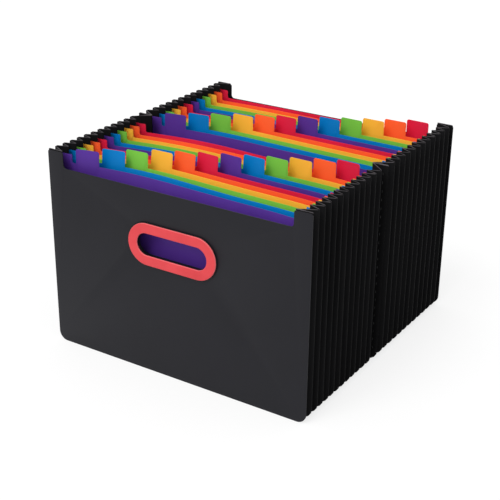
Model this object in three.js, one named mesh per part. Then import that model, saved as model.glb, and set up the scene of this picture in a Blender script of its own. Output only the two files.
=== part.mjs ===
// Expanding desk file sorter: two concertina bellows between two stiff covers, with 24 tabbed dividers.
// Millimetres, +Z up. The front cover faces -Y, and the origin is at the middle of the base.
import * as THREE from "three";

// Covers
const coverWidth = 335;
const coverHeight = 235;
const coverThickness = 1.2;
const coverCorner = 11; // radius of the two lower corners
const coverNotch = 18; // depth of the cut in the top edge, between the ears
const coverEar = 21; // width of an ear
const coverEarFoot = 4; // radius where an ear meets the notch
const coverEarTip = 2.5; // radius of an ear's top corners

// Threading hole in one ear of the back cover
const eyeletDiameter = 3;
const eyeletFromSide = 11;
const eyeletFromTop = 5;

// Carrying handle: a base that lines the hole in the front cover, a coloured ring on it and a retainer behind
const handleLength = 115;
const handleHeight = 50;
const handleBand = 12; // from the base's outer edge to the finger hole
const handleBelowTop = 80; // from the covers' top down to its middle
const handleProud = 3; // how far the ring's face stands out from the cover
const handleRim = 0.8; // how much smaller than the base the ring is all round
const handleRound = 0.9; // the rounded edges of the ring's face
const basePlate = 1; // thickness of the base's flange
const sleeveWall = 2;
const retainerThickness = 2;
const retainerInset = 3; // how much smaller than the base the retainer is all round
const retainerBevel = 0.6;

// Bellows: one folded strip for each half, running down one side, under the base and up the other side
const stripThickness = 0.5;
const foldDepth = 13.5;
const hemWidth = 19; // the flat end that is sewn to a cover, or to the other half at the middle
const valleyCorner = 2; // corner radius of the inward folds

// Dividers: thin coloured sheets, each held in an outward fold
const dividersPerHalf = 12;
const dividerThickness = 0.5;
const dividerNotchBelowTop = 15.5; // from the covers' top down to a divider's notch, and to its ears
const dividerEarBelowTop = 5.5;
const dividerEar = 21.3; // width of an ear
const dividerEarFoot = 2;
const dividerEarTip = 1.5;
const tabHeight = 17;
const tabWidth = 28.5;
const tabSlot = 2.7; // between the end tabs and the ears' feet
const tabCorner = 2.5;

// Places along the depth, from the outer face of the front cover
const firstPocket = 12.5; // to the first divider
const frontPitch = 12;
const beforeSeam = 17.5;
const afterSeam = 14;
const rearPitch = 13.2;
const lastPocket = 11.8; // from the last divider to the outer face of the back cover

const clearance = 0.3; // left between pieces that touch
const coverArcSteps = 12; // straight steps that make up one arc
const sheetArcSteps = 4;

// The bellows rise past the covers' top as far as the dividers' tabs do
const bellowsAboveTop = tabHeight - dividerNotchBelowTop;

// Heights above the base
const handleMiddle = coverHeight - handleBelowTop;
const bellowsTop = coverHeight + bellowsAboveTop;
const dividerNotch = coverHeight - dividerNotchBelowTop;
const dividerEarTop = coverHeight - dividerEarBelowTop;

// A divider lies just inside the folds, and its tabs are spread evenly between the ears
const dividerInset = stripThickness + clearance;
const tabRow = coverWidth - 2 * (dividerInset + dividerEar + dividerEarFoot + tabSlot);
const tabPitch = (tabRow - tabWidth) / (dividersPerHalf - 1);

const frontY = Array.from({ length: dividersPerHalf }, (_, i) => firstPocket + i * frontPitch);
const seamY = frontY.at(-1) + beforeSeam;
const rearY = Array.from({ length: dividersPerHalf }, (_, i) => seamY + afterSeam + i * rearPitch);
const depth = rearY.at(-1) + lastPocket;

const black = { roughness: 0.45, metalness: 0 };
const plastics = {
  cover: new THREE.MeshStandardMaterial({ color: "#2e2e32", ...black }),
  grommet: new THREE.MeshStandardMaterial({ color: "#18181a", ...black }),
  bellows: new THREE.MeshStandardMaterial({ color: "#141416", ...black }),
  handle: new THREE.MeshStandardMaterial({ color: "#e14650", roughness: 0.4, metalness: 0 }),
};
const rainbow = ["#502d91", "#0073b9", "#78be4b", "#fab43c", "#f56937", "#cd2346"];

// The outline of a flat sheet: round lower corners, a notch between two ears and, on a divider, one tab.
function sheetShape(sheet, tab) {
  const { side, base, corner, top, notch, ear, foot, tip } = sheet;
  const inner = side - ear;
  const quarter = Math.PI / 2;
  const shape = new THREE.Shape();
  shape.moveTo(corner - side, base);
  shape.lineTo(side - corner, base);
  shape.absarc(side - corner, base + corner, corner, -quarter, 0, false);
  shape.lineTo(side, top - tip);
  shape.absarc(side - tip, top - tip, tip, 0, quarter, false);
  shape.lineTo(inner + tip, top);
  shape.absarc(inner + tip, top - tip, tip, quarter, 2 * quarter, false);
  shape.lineTo(inner, notch + foot);
  shape.absarc(inner - foot, notch + foot, foot, 0, -quarter, true);
  if (tab) {
    shape.lineTo(tab.right, notch);
    shape.lineTo(tab.right, tab.top - tab.corner);
    shape.absarc(tab.right - tab.corner, tab.top - tab.corner, tab.corner, 0, quarter, false);
    shape.lineTo(tab.left + tab.corner, tab.top);
    shape.absarc(tab.left + tab.corner, tab.top - tab.corner, tab.corner, quarter, 2 * quarter, false);
    shape.lineTo(tab.left, notch);
  }
  shape.lineTo(foot - inner, notch);
  shape.absarc(foot - inner, notch + foot, foot, -quarter, -2 * quarter, true);
  shape.lineTo(-inner, top - tip);
  shape.absarc(-inner - tip, top - tip, tip, 0, quarter, false);
  shape.lineTo(tip - side, top);
  shape.absarc(tip - side, top - tip, tip, quarter, 2 * quarter, false);
  shape.lineTo(-side, base + corner);
  shape.absarc(corner - side, base + corner, corner, 2 * quarter, 3 * quarter, false);
  return shape;
}

// A shape drawn in X and Z, made into a plate that starts at y and is as thick as said.
function plate(shape, y, thickness, arcSteps) {
  const curveSegments = arcSteps / 2; // a shape's arc is drawn in twice this many steps
  const geometry = new THREE.ExtrudeGeometry(shape, { depth: thickness, bevelEnabled: false, curveSegments });
  geometry.rotateX(Math.PI / 2);
  geometry.translate(0, y + thickness, 0);
  return geometry;
}

// Sweeps a closed section of [inset, y] points along a path, where pathAt(inset) gives the path's [x, z]
// points at that inset. A path that doesn't close on itself gets two flat ends.
function sweep(section, pathAt, closed) {
  const contour = section.map(([inset, y]) => new THREE.Vector2(inset, y));
  if (THREE.ShapeUtils.isClockWise(contour)) contour.reverse();
  const rails = contour.map((p) => pathAt(p.x).map(([x, z]) => [x, p.y, z]));
  const rows = rails[0].length;
  const columns = rails.length;
  const at = (row, column) => (row % rows) * columns + (column % columns);
  const positions = [];
  for (let row = 0; row < rows; row++) {
    for (const rail of rails) positions.push(...rail[row]);
  }
  const triangles = [];
  for (let row = 0; row < (closed ? rows : rows - 1); row++) {
    for (let column = 0; column < columns; column++) {
      const [a, b] = [at(row, column), at(row, column + 1)];
      const [c, d] = [at(row + 1, column), at(row + 1, column + 1)];
      triangles.push(a, c, b, b, c, d);
    }
  }
  if (!closed) {
    for (const [a, b, c] of THREE.ShapeUtils.triangulateShape(contour, [])) {
      triangles.push(at(0, a), at(0, b), at(0, c));
      triangles.push(at(rows - 1, a), at(rows - 1, c), at(rows - 1, b));
    }
  }
  const geometry = new THREE.BufferGeometry();
  geometry.setAttribute("position", new THREE.Float32BufferAttribute(positions, 3));
  geometry.setIndex(triangles);
  geometry.computeVertexNormals();
  return geometry;
}

// Points of an arc in X and Z, from one angle to another.
function arc(x, z, radius, from, to, steps) {
  return Array.from({ length: steps + 1 }, (_, i) => {
    const angle = from + ((to - from) * i) / steps;
    return [x + radius * Math.cos(angle), z + radius * Math.sin(angle)];
  });
}

// The bellows' path: down one side, under the base and up the other, at an inset from the covers' edge.
function bellowsPath(inset) {
  const share = Math.min(1, inset / foldDepth);
  const radius = coverCorner + (valleyCorner - coverCorner) * share;
  const side = coverWidth / 2 - inset;
  return [
    [-side, bellowsTop],
    ...arc(radius - side, inset + radius, radius, -Math.PI, -Math.PI / 2, sheetArcSteps),
    ...arc(side - radius, inset + radius, radius, -Math.PI / 2, 0, sheetArcSteps),
    [side, bellowsTop],
  ];
}

// The handle's path: two straights and two half circles, at an inset from the base's outer edge.
function handlePath(inset) {
  const radius = handleHeight / 2 - inset;
  const straight = (handleLength - handleHeight) / 2;
  return [
    ...arc(straight, handleMiddle, radius, -Math.PI / 2, Math.PI / 2, coverArcSteps),
    ...arc(-straight, handleMiddle, radius, Math.PI / 2, (3 * Math.PI) / 2, coverArcSteps),
  ];
}

// Gives a folded line its thickness, with mitred folds, as a closed section.
function thicken(line, thickness) {
  const points = line.map(([u, y]) => new THREE.Vector2(u, y));
  const normals = points.slice(1).map((p, i) => {
    const along = p.clone().sub(points[i]).normalize();
    return new THREE.Vector2(-along.y, along.x);
  });
  const offsets = points.map((_, i) => {
    const before = normals[Math.max(0, i - 1)];
    const after = normals[Math.min(normals.length - 1, i)];
    const mitre = before.clone().add(after).normalize();
    return mitre.multiplyScalar(thickness / 2 / mitre.dot(before));
  });
  const left = points.map((p, i) => [p.x + offsets[i].x, p.y + offsets[i].y]);
  const right = points.map((p, i) => [p.x - offsets[i].x, p.y - offsets[i].y]);
  return [...left, ...right.reverse()];
}

// One half of the bellows: a flat hem, then an outward fold round each divider with an inward fold between,
// and a flat hem again. An outward fold has a crown just wide enough for the sheet that it holds.
function bellows(hemFrom, sheets, hemTo) {
  const crown = dividerThickness + 2 * clearance + stripThickness;
  const tip = stripThickness / 2;
  const line = [[0, hemFrom], [hemWidth, hemFrom]];
  sheets.forEach((y, i) => {
    if (i > 0) line.push([foldDepth, (sheets[i - 1] + y) / 2]);
    line.push([tip, y - crown / 2], [tip, y + crown / 2]);
  });
  line.push([hemWidth, hemTo], [0, hemTo]);
  return sweep(thicken(line, stripThickness), bellowsPath, false);
}

// A cover's outline, with no hole.
function coverShape() {
  return sheetShape({
    side: coverWidth / 2,
    base: 0,
    corner: coverCorner,
    top: coverHeight,
    notch: coverHeight - coverNotch,
    ear: coverEar,
    foot: coverEarFoot,
    tip: coverEarTip,
  });
}

function frontCover() {
  const shape = coverShape();
  const hole = handlePath(handleBand - sleeveWall - clearance).map(([x, z]) => new THREE.Vector2(x, z));
  shape.holes.push(new THREE.Path(hole));
  return plate(shape, 0, coverThickness, coverArcSteps);
}

function backCover() {
  const shape = coverShape();
  const eyelet = new THREE.Path();
  const x = coverWidth / 2 - eyeletFromSide;
  eyelet.absarc(x, coverHeight - eyeletFromTop, eyeletDiameter / 2, 0, 2 * Math.PI, false);
  shape.holes.push(eyelet);
  return plate(shape, depth - coverThickness, coverThickness, coverArcSteps);
}

// The base has a flange in front of the cover, and its sleeve lines the finger hole through to the retainer.
function handleBase() {
  const front = -clearance - basePlate;
  const back = coverThickness + clearance + retainerThickness;
  const sleeve = handleBand - sleeveWall;
  const section = [
    [0, -clearance],
    [0, front],
    [handleBand, front],
    [handleBand, back],
    [sleeve, back],
    [sleeve, -clearance],
  ];
  return sweep(section, handlePath, true);
}

// The ring lies face to face on the base's flange.
function handleRing() {
  const back = -clearance - basePlate;
  const section = [
    [handleRim, back],
    [handleRim, handleRound - handleProud],
    [handleRim + handleRound, -handleProud],
    [handleBand - handleRound, -handleProud],
    [handleBand, handleRound - handleProud],
    [handleBand, back],
  ];
  return sweep(section, handlePath, true);
}

function handleRetainer() {
  const front = coverThickness + clearance;
  const back = front + retainerThickness;
  const inner = handleBand - sleeveWall - clearance;
  const section = [
    [retainerInset, front],
    [inner, front],
    [inner, back],
    [retainerInset + retainerBevel, back],
    [retainerInset, back - retainerBevel],
  ];
  return sweep(section, handlePath, true);
}

// The tabs step sideways from divider to divider and are centred on the sheet as a row.
function divider(index, y) {
  const share = dividerInset / foldDepth;
  const middle = (index - (dividersPerHalf - 1) / 2) * tabPitch;
  const sheet = {
    side: coverWidth / 2 - dividerInset,
    base: dividerInset,
    corner: coverCorner + (valleyCorner - coverCorner) * share,
    top: dividerEarTop,
    notch: dividerNotch,
    ear: dividerEar,
    foot: dividerEarFoot,
    tip: dividerEarTip,
  };
  const tab = {
    left: middle - tabWidth / 2,
    right: middle + tabWidth / 2,
    top: dividerNotch + tabHeight,
    corner: tabCorner,
  };
  return plate(sheetShape(sheet, tab), y - dividerThickness / 2, dividerThickness, sheetArcSteps);
}

const pieces = new THREE.Group();
// The origin is at the middle of the whole depth, and the handle stands proud of the front cover.
pieces.position.y = (handleProud - depth) / 2;

function add(name, geometry, material) {
  const mesh = new THREE.Mesh(geometry, material.clone());
  mesh.name = name;
  pieces.add(mesh);
}

// The middle of a hem's strip lies this far from the cover's inner face, and from the seam's plane.
const hemInset = clearance + stripThickness / 2;
const seamInset = (clearance + stripThickness) / 2;
add("front_cover", frontCover(), plastics.cover);
add("handle_base", handleBase(), plastics.grommet);
add("handle_ring", handleRing(), plastics.handle);
add("handle_retainer", handleRetainer(), plastics.grommet);
add("front_bellows", bellows(coverThickness + hemInset, frontY, seamY - seamInset), plastics.bellows);
add("rear_bellows", bellows(seamY + seamInset, rearY, depth - coverThickness - hemInset), plastics.bellows);
add("back_cover", backCover(), plastics.cover);

for (const [half, places] of [["front", frontY], ["rear", rearY]]) {
  places.forEach((y, i) => {
    const name = `${half}_divider_${String(i + 1).padStart(2, "0")}`;
    const color = rainbow[i % rainbow.length];
    add(name, divider(i, y), new THREE.MeshStandardMaterial({ color, roughness: 0.4, metalness: 0 }));
  });
}

const sorter = new THREE.Group();
sorter.add(pieces);
export default sorter;
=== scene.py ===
# Looks of the rainbow desk file: its plastics, soft edges, creases and stitches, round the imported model.
# Metres, +Z up; the front cover with the handle faces -Y.
import math
import random

import bmesh
import bpy
from mathutils import Matrix, Vector, noise


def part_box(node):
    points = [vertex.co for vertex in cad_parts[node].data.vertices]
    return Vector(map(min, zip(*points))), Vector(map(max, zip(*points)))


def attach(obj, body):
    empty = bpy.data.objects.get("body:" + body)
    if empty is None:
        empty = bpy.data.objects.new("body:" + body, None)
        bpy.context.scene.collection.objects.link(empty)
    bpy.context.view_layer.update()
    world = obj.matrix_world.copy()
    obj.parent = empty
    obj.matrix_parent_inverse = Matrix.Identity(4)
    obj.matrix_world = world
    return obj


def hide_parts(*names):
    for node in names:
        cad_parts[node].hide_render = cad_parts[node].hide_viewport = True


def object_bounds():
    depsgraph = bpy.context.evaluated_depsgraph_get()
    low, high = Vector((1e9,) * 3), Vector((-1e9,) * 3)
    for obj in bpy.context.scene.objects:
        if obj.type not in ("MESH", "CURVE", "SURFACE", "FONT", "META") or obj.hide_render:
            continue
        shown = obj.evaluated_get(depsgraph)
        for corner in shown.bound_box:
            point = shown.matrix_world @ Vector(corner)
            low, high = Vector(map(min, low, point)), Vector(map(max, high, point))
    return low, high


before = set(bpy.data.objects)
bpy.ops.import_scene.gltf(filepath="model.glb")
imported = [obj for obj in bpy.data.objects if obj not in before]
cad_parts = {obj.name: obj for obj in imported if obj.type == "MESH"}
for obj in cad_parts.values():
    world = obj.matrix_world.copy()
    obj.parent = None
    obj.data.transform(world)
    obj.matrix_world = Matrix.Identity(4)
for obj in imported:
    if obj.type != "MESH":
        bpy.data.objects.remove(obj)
cadLow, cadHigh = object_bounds()
scene = bpy.context.scene
scene.view_settings.view_transform = "Standard"
random.seed(24)
mm = 0.001
print("frame loaded")


# Camera: at the photograph's angle, for a picture of 500 x 500

camera = {"place": (0.6414, -1.0192, 0.6343), "yaw": 32.51, "pitch": 24.13, "roll": 0.69,
          "lens": 79.92, "sensor": 36}


def addCamera():
    bpy.ops.object.camera_add(location=camera["place"])
    made = bpy.context.object
    yaw = Matrix.Rotation(math.radians(camera["yaw"]), 3, "Z")
    pitch = Matrix.Rotation(math.radians(90 - camera["pitch"]), 3, "X")
    roll = Matrix.Rotation(math.radians(camera["roll"]), 3, "Z")
    made.rotation_euler = (yaw @ pitch @ roll).to_euler()
    made.data.lens = camera["lens"]
    made.data.sensor_width = camera["sensor"]
    scene.camera = made


addCamera()
print("camera placed")


# Materials

noiseMiddle = (0.3, 0.7)
grainReach = 0.2 * mm


class Wire:
    # a node's output that takes part in plain arithmetic
    def __init__(self, finish, output):
        self.finish = finish
        self.output = output

    def maths(self, operation, first, second):
        return self.finish.node("ShaderNodeMath", {"operation": operation}, {0: first, 1: second})

    def __add__(self, other):
        return self.maths("ADD", self, other)

    def __mul__(self, other):
        return self.maths("MULTIPLY", self, other)

    def __abs__(self):
        return self.maths("ABSOLUTE", self, 0)


class Finish:
    # a material, or the world, whose nodes are added one by one
    def __init__(self, owner):
        owner.use_nodes = True
        self.owner = owner
        self.tree = owner.node_tree
        self.tree.nodes.clear()

    def node(self, kind, settings, sockets, out=0):
        made = self.tree.nodes.new(kind)
        for key, value in settings.items():
            setattr(made, key, value)
        for key, value in sockets.items():
            if isinstance(value, Wire):
                self.tree.links.new(value.output, made.inputs[key])
            else:
                made.inputs[key].default_value = value
        return Wire(self, made.outputs[out]) if made.outputs else None

    def place(self, scale=(1, 1, 1)):
        spot = self.node("ShaderNodeTexCoord", {}, {}, "Object")
        return self.node("ShaderNodeMapping", {}, {"Vector": spot, "Scale": scale})

    def noise(self, scale, detail=2, stretch=(1, 1, 1)):
        return self.node("ShaderNodeTexNoise", {}, {
            "Vector": self.place(stretch), "Scale": scale, "Detail": detail})

    def along(self, axis):
        spot = self.node("ShaderNodeTexCoord", {}, {}, "Object")
        return self.node("ShaderNodeSeparateXYZ", {}, {"Vector": spot}, "XYZ".index(axis))

    def remap(self, value, fromLow, fromHigh, low, high):
        return self.node("ShaderNodeMapRange", {}, {
            "Value": value, "From Min": fromLow, "From Max": fromHigh, "To Min": low, "To Max": high})

    def between(self, mask, low, high):
        # noise seldom leaves its middle, so that middle is spread over the whole range
        return self.remap(mask, *noiseMiddle, low, high)

    def ramp(self, value, low, high, top=1.0):
        # rises from 0 at one place to its top at another
        return self.remap(value, low, high, 0.0, top)

    def blend(self, factor, first, second):
        return self.node("ShaderNodeMix", {"data_type": "RGBA"}, {0: factor, 6: first, 7: second}, 2)

    def finishWith(self, shader):
        self.node("ShaderNodeOutputMaterial", {}, {"Surface": shader})
        return self.owner


def linear(red, green, blue, gain=1.0):
    # an eye's colour from 0 to 255 as light
    def one(value):
        share = value / 255
        return gain * (share / 12.92 if share <= 0.04045 else ((share + 0.055) / 1.055) ** 2.4)
    return (one(red), one(green), one(blue), 1.0)


def newFinish(name):
    return Finish(bpy.data.materials.new(name))


def grainBump(finish, look):
    return finish.node("ShaderNodeBump", {}, {
        "Height": finish.noise(look["grain"]), "Strength": look["depth"], "Distance": grainReach})


def twoTones(finish, look, mask):
    return finish.blend(finish.between(mask, 0, 1), look["dark"], look["light"])


def plasticShader(finish, look, colour, mask, bump=None):
    bump = bump or grainBump(finish, look)
    return finish.node("ShaderNodeBsdfPrincipled", {}, {
        "Base Color": colour, "Roughness": finish.between(mask, *look["rough"]), "Normal": bump,
        "Specular IOR Level": look["shine"]})


def plainPlastic(name, look):
    # black plastic, a little cloudy
    finish = newFinish(name)
    cloud = finish.noise(look["cloud"])
    return finish.finishWith(plasticShader(finish, look, twoTones(finish, look, cloud), cloud))


coverLook = {"dark": linear(21, 21, 26), "light": linear(25, 25, 30), "cloud": 14, "rough": (0.42, 0.52),
             "grain": 2600, "depth": 0.05, "shine": 0.17}

grommetLook = {"dark": linear(10, 9, 10), "light": linear(16, 15, 16), "cloud": 60, "rough": (0.45, 0.55),
               "grain": 1800, "depth": 0.05, "shine": 0.2}

# the darkest colour is painted shade for the crowns, and the palest is a painted highlight for the top edge
bellowsLook = {"dark": linear(17, 17, 18), "light": linear(23, 23, 24), "crownShade": linear(8, 8, 9),
               "rim": linear(108, 104, 107), "streak": 120, "stretch": (1, 1, 0.04), "crownShadePatches": 260,
               "highlightBreaks": 150, "crownShadeShare": (0.6, 1), "highlightShare": (0.3, 1), "rough": (0.4, 0.52),
               "grain": 2200, "depth": 0.06, "shine": 0.01, "crown": 0.35 * mm, "top": 1.1 * mm}


def bellowsPlastic():
    # drawn streaks run along the folds; the crowns are painted darker in patches, as painted shade, and the
    # top edge is painted pale, as a painted highlight
    finish = newFinish("bellowsPlastic")
    streak = finish.noise(bellowsLook["streak"], 3, stretch=bellowsLook["stretch"])
    colour = twoTones(finish, bellowsLook, streak)
    # painted shade: the outermost edge of each crown is painted darker, in patches
    crown = finish.ramp(abs(finish.along("X")), cadHigh.x - bellowsLook["crown"], cadHigh.x)
    shadedCrown = crown * finish.between(finish.noise(bellowsLook["crownShadePatches"]), *bellowsLook["crownShadeShare"])
    colour = finish.blend(shadedCrown, colour, bellowsLook["crownShade"])
    # painted highlight: a pale band is painted along the top edge, with breaks
    top = finish.ramp(finish.along("Z"), cadHigh.z - bellowsLook["top"], cadHigh.z)
    rim = top * finish.between(finish.noise(bellowsLook["highlightBreaks"]), *bellowsLook["highlightShare"])
    colour = finish.blend(rim, colour, bellowsLook["rim"])
    return finish.finishWith(plasticShader(finish, bellowsLook, colour, streak))


# the palest colour is a painted highlight for the ring's rounded edges
handleLook = {"dark": linear(190, 48, 54), "light": linear(202, 58, 64), "rim": linear(255, 130, 134),
              "cloud": 40, "rough": (0.34, 0.44), "grain": 1500, "depth": 0.04, "shine": 0.3,
              "flat": 0.04 * mm, "rounding": 0.5 * mm, "highlightShare": 0.6}


def handlePlastic():
    # painted highlight: the rounded edges are painted paler than the flat front, as if they catch more
    # light
    finish = newFinish("handlePlastic")
    cloud = finish.noise(handleLook["cloud"])
    colour = twoTones(finish, handleLook, cloud)
    # painted highlight: paler from the flat front towards the rounded edge
    rim = finish.ramp(finish.along("Y"), cadLow.y + handleLook["flat"],
                      cadLow.y + handleLook["rounding"], handleLook["highlightShare"])
    colour = finish.blend(rim, colour, handleLook["rim"])
    return finish.finishWith(plasticShader(finish, handleLook, colour, cloud))


sheetLook = {
    "colours": {"purple": (94, 56, 160), "blue": (0, 134, 208), "green": (132, 208, 76),
                "yellow": (255, 196, 66), "orange": (255, 108, 54), "red": (226, 36, 74)},
    "deeper": 0.9, "cloud": 18, "rough": (0.34, 0.46), "grain": 1400, "depth": 0.05, "shine": 0.15,
    "through": 0.3}


def sheetPlastic(name):
    # thin frosted sheet: part of the light goes through it
    finish = newFinish(name + "Sheet")
    rgb = sheetLook["colours"][name]
    cloud = finish.noise(sheetLook["cloud"], 3)
    colour = finish.blend(finish.between(cloud, 0, 1), linear(*rgb, gain=sheetLook["deeper"]), linear(*rgb))
    bump = grainBump(finish, sheetLook)
    face = plasticShader(finish, sheetLook, colour, cloud, bump)
    glow = finish.node("ShaderNodeBsdfTranslucent", {}, {"Color": linear(*rgb), "Normal": bump})
    shader = finish.node("ShaderNodeMixShader", {}, {0: sheetLook["through"], 1: face, 2: glow})
    return finish.finishWith(shader)


threadLook = {"dark": linear(16, 16, 17), "light": linear(44, 44, 46), "twist": 2400, "wobble": 1.5,
              "rough": 0.6, "depth": 0.4, "reach": 0.1 * mm}


def threadFinish():
    finish = newFinish("sewingThread")
    twist = finish.node("ShaderNodeTexWave", {"bands_direction": "DIAGONAL"}, {
        "Vector": finish.place(), "Scale": threadLook["twist"], "Distortion": threadLook["wobble"]})
    colour = finish.blend(twist, threadLook["dark"], threadLook["light"])
    bump = finish.node("ShaderNodeBump", {}, {
        "Height": twist, "Strength": threadLook["depth"], "Distance": threadLook["reach"]})
    shader = finish.node("ShaderNodeBsdfPrincipled", {}, {
        "Base Color": colour, "Roughness": threadLook["rough"], "Normal": bump})
    return finish.finishWith(shader)


finishes = {"cover": plainPlastic("coverPlastic", coverLook), "bellows": bellowsPlastic(),
            "grommet": plainPlastic("grommetPlastic", grommetLook), "handle": handlePlastic(),
            "thread": threadFinish()}
finishes.update({name: sheetPlastic(name) for name in sheetLook["colours"]})
print("materials ready")


# Modelling helpers

smoothBelow = math.radians(40)
flatWithin = math.radians(0.5)
mergeWithin = 0.001 * mm
hair = 0.01 * mm
closeBy = 0.05 * mm


def pick(piece):
    bpy.ops.object.select_all(action="DESELECT")
    piece.select_set(True)
    bpy.context.view_layer.objects.active = piece


def selectWhere(kind, test):
    # in edit mode: selects the vertices, edges or faces that pass the test, and nothing else
    shape = bmesh.from_edit_mesh(bpy.context.object.data)
    bpy.ops.mesh.select_mode(type={"verts": "VERT", "edges": "EDGE", "faces": "FACE"}[kind])
    bpy.ops.mesh.select_all(action="DESELECT")
    for part in getattr(shape, kind):
        if test(part):
            part.select_set(True)
    if kind == "verts":
        shape.select_flush(True)
    bmesh.update_edit_mesh(bpy.context.object.data)


def slicesBetween(low, high, count):
    return [low + (high - low) * (i + 1) / (count + 1) for i in range(count)]


def sliceAcross(axis, places):
    # in edit mode: cuts every face on planes across the axis, so that the piece can be bent
    normal = Vector((axis == "x", axis == "y", axis == "z"))
    for place in places:
        bpy.ops.mesh.select_all(action="SELECT")
        bpy.ops.mesh.bisect(plane_co=normal * place, plane_no=normal)


def copyOfNode(node, name):
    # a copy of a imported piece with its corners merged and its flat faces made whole, left in edit mode
    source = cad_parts[node]
    piece = source.copy()
    piece.data = source.data.copy()
    piece.name = piece.data.name = name
    piece.parent = None
    piece.matrix_world = Matrix.Identity(4)
    scene.collection.objects.link(piece)
    pick(piece)
    bpy.ops.mesh.customdata_custom_splitnormals_clear()
    bpy.ops.object.mode_set(mode="EDIT")
    bpy.ops.mesh.select_all(action="SELECT")
    bpy.ops.mesh.remove_doubles(threshold=mergeWithin)
    bpy.ops.mesh.dissolve_limited(angle_limit=flatWithin)
    return piece


def roundEdges(piece, width, segments, angle):
    bpy.ops.object.mode_set(mode="OBJECT")
    bevel = piece.modifiers.new("softEdges", "BEVEL")
    bevel.width = width
    bevel.segments = segments
    bevel.limit_method = "ANGLE"
    bevel.angle_limit = math.radians(angle)
    bevel.harden_normals = False
    pick(piece)
    bpy.ops.object.modifier_apply(modifier=bevel.name)
    bpy.ops.object.shade_smooth_by_angle(angle=smoothBelow)


def moveVertices(piece, shift):
    for vertex in piece.data.vertices:
        vertex.co += shift(vertex.co)


def dress(piece, finish, slot, *nodes):
    piece.data.materials.clear()
    piece.data.materials.append(finishes[finish])
    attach(piece, "root")
    if nodes:
        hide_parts(*nodes)


# Covers: stiff sheets with softly broken edges

covers = {"edge": 0.3 * mm, "segments": 3, "sharp": 50}


def cover(node, name):
    piece = copyOfNode(node, name)
    roundEdges(piece, covers["edge"], covers["segments"], covers["sharp"])
    dress(piece, "cover", "cover_plastic", node)


cover("front_cover", "frontCover")
cover("back_cover", "backCover")
print("covers made")


# Handle: a black base through the front cover, a coral ring on it, and a retainer behind; the base's black
# rim round the ring and its black sleeve in the hole also stand in for painted shade

handle = {"straight": 32.5 * mm, "above": 155 * mm, "radius": 25 * mm, "band": 12 * mm, "rim": 0.8 * mm,
          "sleeve": 2 * mm, "plate": 1 * mm, "clear": 0.3 * mm, "proud": 3 * mm, "round": 0.8 * mm,
          "baseRound": 0.35 * mm, "behind": 1.5 * mm, "retainer": 2 * mm, "inset": 3 * mm,
          "retainerRound": 0.6 * mm, "around": 96, "baseSteps": 3, "ringSteps": 6, "retainerSteps": 4}
handleHole = handle["radius"] - handle["band"]
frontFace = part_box("front_cover")[0].y


def stadium(name, radius, y):
    # a filled outline of two half circles and two straights, facing the front, left in edit mode
    bpy.ops.object.select_all(action="DESELECT")
    bpy.ops.mesh.primitive_circle_add(
        vertices=handle["around"], radius=radius, fill_type="NGON",
        location=(0, frontFace + y, handle["above"]), rotation=(math.pi / 2, 0, 0))
    piece = bpy.context.object
    piece.name = piece.data.name = name
    bpy.ops.object.transform_apply(location=True, rotation=True, scale=True)
    bpy.ops.object.mode_set(mode="EDIT")
    for side in (1, -1):
        selectWhere("verts", lambda v: v.co.x * side > hair)
        bpy.ops.transform.translate(value=(side * handle["straight"], 0, 0))
    return piece


def fromSpine(co):
    # distance from the handle's middle line
    beyond = max(0, abs(co.x) - handle["straight"])
    return math.hypot(beyond, co.z - handle["above"])


def near(value, target):
    return abs(value - target) < closeBy


def loopAt(radius, y):
    return lambda e: all(near(fromSpine(v.co), radius) and near(v.co.y, frontFace + y) for v in e.verts)


def thicken(front, back):
    # pulls a flat band back from one depth to another
    bpy.ops.mesh.select_all(action="SELECT")
    bpy.ops.mesh.extrude_region_move(TRANSFORM_OT_translate={"value": (0, back - front, 0)})


def softenLoop(radius, y, offset, segments):
    selectWhere("edges", loopAt(radius, y))
    bpy.ops.mesh.bevel(offset=offset, segments=segments, affect="EDGES")


def closeBand(piece):
    bpy.ops.mesh.select_all(action="SELECT")
    bpy.ops.mesh.normals_make_consistent(inside=False)
    bpy.ops.object.mode_set(mode="OBJECT")
    bpy.ops.object.shade_smooth_by_angle(angle=smoothBelow)


def flatBand(name, outer, inner, y):
    piece = stadium(name, outer, y)
    selectWhere("faces", lambda f: True)
    bpy.ops.mesh.inset(thickness=outer - inner)
    bpy.ops.mesh.delete(type="FACE")
    return piece


def handleBase():
    # painted shade: the black rim that shows round the ring and the black sleeve in the hole stand in for
    # shade, besides holding the ring
    front = -handle["clear"] - handle["plate"]
    sleeve = handleHole + handle["sleeve"]
    piece = stadium("handleBase", handle["radius"], front)
    selectWhere("faces", lambda f: True)
    bpy.ops.mesh.inset(thickness=handle["radius"] - sleeve)
    bpy.ops.mesh.inset(thickness=handle["sleeve"])
    bpy.ops.mesh.delete(type="FACE")
    thicken(front, -handle["clear"])
    selectWhere("faces", lambda f: near(f.calc_center_median().y, frontFace - handle["clear"])
                and fromSpine(f.calc_center_median()) < sleeve)
    reach = handle["behind"] + handle["retainer"] + handle["clear"]
    bpy.ops.mesh.extrude_region_move(TRANSFORM_OT_translate={"value": (0, reach, 0)})
    softenLoop(handle["radius"], front, handle["baseRound"], handle["baseSteps"])
    closeBand(piece)
    dress(piece, "grommet", "grommet_plastic", "handle_base")


def handleRing():
    # the ring stops short of the base's edge, so that the black rim shows round it as painted shade
    outer = handle["radius"] - handle["rim"]
    back = -handle["clear"] - handle["plate"]
    piece = flatBand("handleRing", outer, handleHole, -handle["proud"])
    thicken(-handle["proud"], back)
    softenLoop(outer, -handle["proud"], handle["round"], handle["ringSteps"])
    softenLoop(handleHole, -handle["proud"], handle["round"], handle["ringSteps"])
    closeBand(piece)
    dress(piece, "handle", "handle_plastic", "handle_ring")


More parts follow.
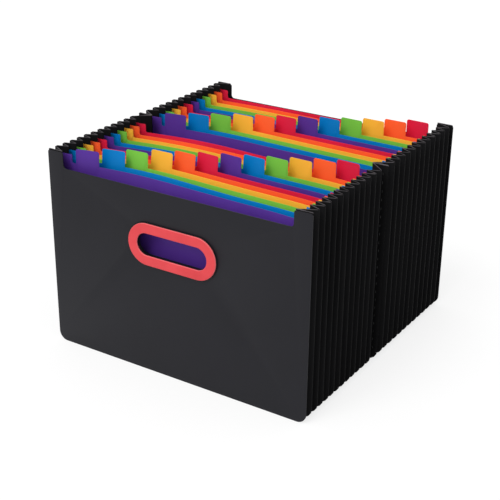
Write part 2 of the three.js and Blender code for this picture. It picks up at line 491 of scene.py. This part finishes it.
def handleRetainer():
    outer = handle["radius"] - handle["inset"]
    inner = handleHole + handle["sleeve"] + handle["clear"]
    back = handle["behind"] + handle["retainer"]
    piece = flatBand("handleRetainer", outer, inner, handle["behind"])
    thicken(handle["behind"], back)
    softenLoop(outer, back, handle["retainerRound"], handle["retainerSteps"])
    closeBand(piece)
    dress(piece, "grommet", "grommet_plastic", "handle_retainer")


handleBase()
handleRing()
handleRetainer()
print("handle made")


# Bellows: soft creases, and folds that aren't quite even

bellows = {"crease": 0.22 * mm, "segments": 2, "sharp": 25, "slices": 12, "depth": 13.5 * mm,
           "wander": 1.6 * mm, "pull": 0.35 * mm, "dip": 0.5 * mm, "calm": 7 * mm, "hem": 1.5 * mm,
           "side": 30 * mm, "upper": 200 * mm, "bend": 16 * mm, "corner": 1.8 * mm, "cornerSteps": 3,
           "cornerDepth": 2 * mm}
ripples = {"wander": ((8, 75, 7), 0), "pull": ((3, 90, 6), 5), "dip": ((2, 85, 0), 9)}


def ripple(name, co):
    (x, y, z), start = ripples[name]
    return noise.noise(Vector((co.x * x, co.y * y + start, co.z * z)))


def unevenFolds(low, high):
    # the inward folds wander, the crowns pull in and the top edges dip, all a little; sewn hems stay flat
    def shift(co):
        edge = min(cadHigh.x - abs(co.x), co.z)
        inward = min(1, max(0, edge) / bellows["depth"])
        fromHem = min(co.y - low.y, high.y - co.y) - bellows["hem"]
        calm = min(1, max(0, fromHem) / bellows["calm"])
        pull = 0.5 + 0.5 * ripple("pull", co)
        dip = 0.5 + 0.5 * ripple("dip", co)
        upper = max(0, (co.z - bellows["upper"]) / (high.z - bellows["upper"]))
        side = 1 if co.x > 0 else -1
        atSide = 1 if abs(co.x) > high.x - bellows["side"] else 0
        return Vector((-side * atSide * bellows["pull"] * pull * calm,
                       bellows["wander"] * ripple("wander", co) * inward ** 2 * calm,
                       -bellows["dip"] * dip * upper * calm))
    return shift


def roundTop(high):
    # each fold's top corner is rounded off towards the outside
    def shift(co):
        beyond = bellows["corner"] - (high.x - abs(co.x))
        if beyond <= 0 or co.z < high.z - bellows["cornerDepth"]:
            return Vector()
        fall = bellows["corner"] - math.sqrt(max(0, bellows["corner"] ** 2 - beyond ** 2))
        return Vector((0, 0, -fall))
    return shift


def bellowsHalf(node, name):
    low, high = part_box(node)
    piece = copyOfNode(node, name)
    turns = [math.pi / 2 * i / bellows["cornerSteps"] for i in range(bellows["cornerSteps"])]
    corner = [high.x - bellows["corner"] * (1 - math.sin(turn)) for turn in turns]
    for side in (1, -1):
        sliceAcross("x", [side * place for place in corner])
    sliceAcross("z", slicesBetween(bellows["bend"], high.z, bellows["slices"]))
    sliceAcross("x", slicesBetween(low.x + bellows["bend"], high.x - bellows["bend"], bellows["slices"]))
    bpy.ops.object.mode_set(mode="OBJECT")
    moveVertices(piece, roundTop(high))
    moveVertices(piece, unevenFolds(low, high))
    roundEdges(piece, bellows["crease"], bellows["segments"], bellows["sharp"])
    dress(piece, "bellows", "bellows_plastic", node)


bellowsHalf("front_bellows", "frontBellows")
bellowsHalf("rear_bellows", "rearBellows")
print("bellows made")


# Dividers: thin sheets that bow a little between their folds, with tabs that lean

sheets = {"count": 12, "edge": 0.14 * mm, "segments": 2, "sharp": 50, "across": 22, "up": 6,
          "notch": 219.5 * mm, "tab": 17 * mm, "held": 154 * mm, "skew": -0.35, "stray": 0.9 * mm,
          "lean": 0.7 * mm, "bow": {"front": (11 * mm, 9.5 * mm), "rear": (8 * mm, 2.5 * mm)},
          "power": {"across": 3, "up": 2, "tab": 1.5}}


def bowOf(half, number):
    # the sheets are held at their sides and bow back in the middle, the last ones of a half less
    first, last = sheets["bow"][half]
    return first + (last - first) * (number - 1) / (sheets["count"] - 1)


def bowed(bow, wave, lean):
    power = sheets["power"]

    def shift(co):
        reach = min(1, abs(co.x) / sheets["held"])
        across = 1 - reach ** power["across"]
        second = math.sin(math.pi * co.x / sheets["held"]) * across
        up = (co.z / cadHigh.z) ** power["up"]
        tab = max(0, co.z - sheets["notch"]) / sheets["tab"] * across
        return Vector((0, (bow * across + wave * second) * up + lean * tab ** power["tab"], 0))
    return shift


def divider(half, number, colour):
    node = f"{half}_divider_{number:02d}"
    low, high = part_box(node)
    piece = copyOfNode(node, f"{half}Sheet{number:02d}")
    sliceAcross("x", slicesBetween(low.x, high.x, sheets["across"]))
    sliceAcross("z", slicesBetween(low.z, sheets["notch"], sheets["up"]))
    roundEdges(piece, sheets["edge"], sheets["segments"], sheets["sharp"])
    stray = [random.uniform(-1, 1) for _ in range(3)]
    bow = bowOf(half, number) + sheets["stray"] * stray[0]
    wave = sheets["skew"] * bow + sheets["stray"] * stray[1]
    moveVertices(piece, bowed(bow, wave, sheets["lean"] * stray[2]))
    dress(piece, colour, colour + "_sheet", node)


colourNames = list(sheetLook["colours"])
for half in ("front", "rear"):
    for number in range(1, sheets["count"] + 1):
        divider(half, number, colourNames[(number - 1) % len(colourNames)])
print("dividers made")


# Stitches: the hems are sewn to the back cover, and to each other at the middle seam

stitch = {"length": 3.0 * mm, "thick": 0.55 * mm, "pitch": 10 * mm, "inset": 6 * mm, "sink": 0.1 * mm,
          "top": 226 * mm, "corner": 12 * mm, "around": 8, "rings": 6, "strip": 0.5 * mm}


def stitchPlaces():
    # places down one side, along the base and up the other, with the direction of the thread
    side = cadHigh.x - stitch["inset"]
    steps = int((stitch["top"] - stitch["corner"]) / stitch["pitch"])
    heights = [stitch["top"] - stitch["pitch"] * i for i in range(steps + 1)]
    places = [(x, z, "up") for x in (-side, side) for z in heights]
    run = 2 * (side - stitch["corner"])
    count = round(run / stitch["pitch"])
    places += [(-run / 2 + run * i / count, stitch["inset"], "along") for i in range(count + 1)]
    return places


def stitchLine(name, y, slot):
    bpy.ops.object.select_all(action="DESELECT")
    bpy.ops.mesh.primitive_uv_sphere_add(
        segments=stitch["around"], ring_count=stitch["rings"], radius=stitch["thick"] / 2)
    first = bpy.context.object
    bpy.ops.object.mode_set(mode="EDIT")
    for end in (1, -1):
        selectWhere("verts", lambda v: v.co.z * end > hair)
        bpy.ops.transform.translate(value=(0, 0, end * (stitch["length"] - stitch["thick"]) / 2))
    bpy.ops.object.mode_set(mode="OBJECT")
    bpy.ops.object.shade_smooth()
    copies = []
    for x, z, way in stitchPlaces():
        made = first.copy()
        made.data = first.data.copy()
        turn = Matrix.Rotation(math.pi / 2 if way == "along" else 0, 4, "Y")
        made.data.transform(Matrix.Translation((x, y, z)) @ turn)
        scene.collection.objects.link(made)
        copies.append(made)
    bpy.data.objects.remove(first)
    bpy.ops.object.select_all(action="DESELECT")
    for made in copies:
        made.select_set(True)
    piece = copies[0]
    bpy.context.view_layer.objects.active = piece
    bpy.ops.object.join()
    piece.name = piece.data.name = name
    dress(piece, "thread", slot)


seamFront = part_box("front_bellows")[1].y - stitch["strip"]
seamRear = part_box("rear_bellows")[0].y + stitch["strip"]
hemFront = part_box("rear_bellows")[1].y - stitch["strip"]
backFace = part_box("back_cover")[1].y
stitchLine("seamStitchesFront", seamFront - stitch["sink"], "bellows_plastic")
stitchLine("seamStitchesRear", seamRear + stitch["sink"], "bellows_plastic")
stitchLine("coverStitchesFront", hemFront - stitch["sink"], "bellows_plastic")
stitchLine("coverStitchesBack", backFace - stitch["sink"], "bellows_plastic")
print("stitches made")


# Studio: a pale floor, soft light from the front left, and a white surround

studio = {"floor": 12.0, "ambient": 0.92, "key": 1.7, "keyAngle": 35, "keyFrom": (-0.15, -0.8, 1.0),
          "white": 0.75, "paint": (0.9, 0.9, 0.9, 1)}


def addFloor():
    bpy.ops.mesh.primitive_plane_add(size=studio["floor"], location=(0, 0, 0))
    floor = bpy.context.object
    floor.name = "floor"
    finish = newFinish("paleFloor")
    paint = finish.node("ShaderNodeBsdfDiffuse", {}, {"Color": studio["paint"]})
    bright = finish.node("ShaderNodeEmission", {}, {"Color": (1, 1, 1, 1), "Strength": 1.0})
    path = finish.node("ShaderNodeLightPath", {}, {}, "Is Camera Ray")
    floor.data.materials.append(finish.finishWith(
        finish.node("ShaderNodeMixShader", {}, {0: path * studio["white"], 1: paint, 2: bright})))


def addWorld():
    world = bpy.data.worlds.new("studio")
    scene.world = world
    finish = Finish(world)
    soft = finish.node("ShaderNodeBackground", {}, {"Color": (1, 1, 1, 1), "Strength": studio["ambient"]})
    white = finish.node("ShaderNodeBackground", {}, {"Color": (1, 1, 1, 1), "Strength": 1.0})
    seen = finish.node("ShaderNodeLightPath", {}, {}, "Is Camera Ray")
    mirrored = finish.node("ShaderNodeLightPath", {}, {}, "Is Glossy Ray")
    through = finish.node("ShaderNodeLightPath", {}, {}, "Is Transmission Ray")
    shown = seen + mirrored + through
    surface = finish.node("ShaderNodeMixShader", {}, {0: shown, 1: soft, 2: white})
    finish.node("ShaderNodeOutputWorld", {}, {"Surface": surface})


def addKey():
    bpy.ops.object.light_add(type="SUN")
    key = bpy.context.object
    key.data.energy = studio["key"]
    key.data.angle = math.radians(studio["keyAngle"])
    key.rotation_euler = Vector(studio["keyFrom"]).to_track_quat("Z", "Y").to_euler()


addFloor()
addWorld()
addKey()
print("studio lit")
